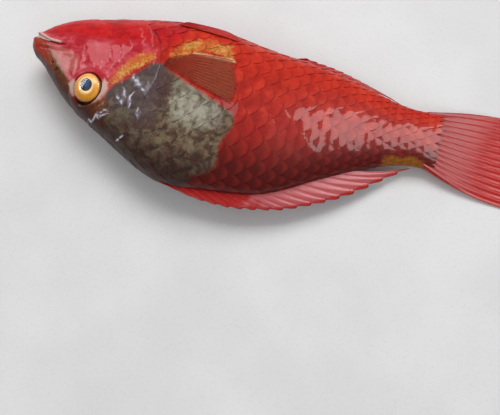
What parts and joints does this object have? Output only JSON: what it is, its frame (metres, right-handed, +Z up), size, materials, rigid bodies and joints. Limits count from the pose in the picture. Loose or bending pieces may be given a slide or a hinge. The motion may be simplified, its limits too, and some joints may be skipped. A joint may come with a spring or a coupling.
{
  "type": "parrotfish",
  "caption": "Female Mediterranean parrotfish lying on its left side, with large scales, a folded pectoral fin, a jagged dorsal fin and a spread tail fin.",
  "frame": {"origin": "middle of the fish's bounding box, on the floor it lies on", "axes": "+X from the snout to the tail, -Y towards the back and dorsal fin, +Z up, out of the right flank"},
  "size_m": [0.3208, 0.1106, 0.0438],
  "materials": {
    "body_skin": "wet scaly skin, glossy",
    "face_skin": "wet smooth skin, glossy",
    "red_fin": "thin wet fin skin over rays",
    "pale_fin": "thin wet half-clear fin skin over rays",
    "beak": "smooth ivory of fused teeth, wet",
    "eye": "clear wet cornea over an amber iris and a dark pupil"
  },
  "bodies": {
    "root": {"head": "face_skin", "trunk": "body_skin", "tail_stalk": "body_skin", "beak_lower": "beak", "dorsal_fin": "red_fin", "anal_fin": "red_fin", "tail_fin": "red_fin", "pectoral_fin_right": "pale_fin", "pectoral_fin_left": "pale_fin", "pelvic_fin_right": "red_fin", "pelvic_fin_left": "red_fin", "eye_right": "eye", "eye_left": "eye"}
  },
  "joints": []
}
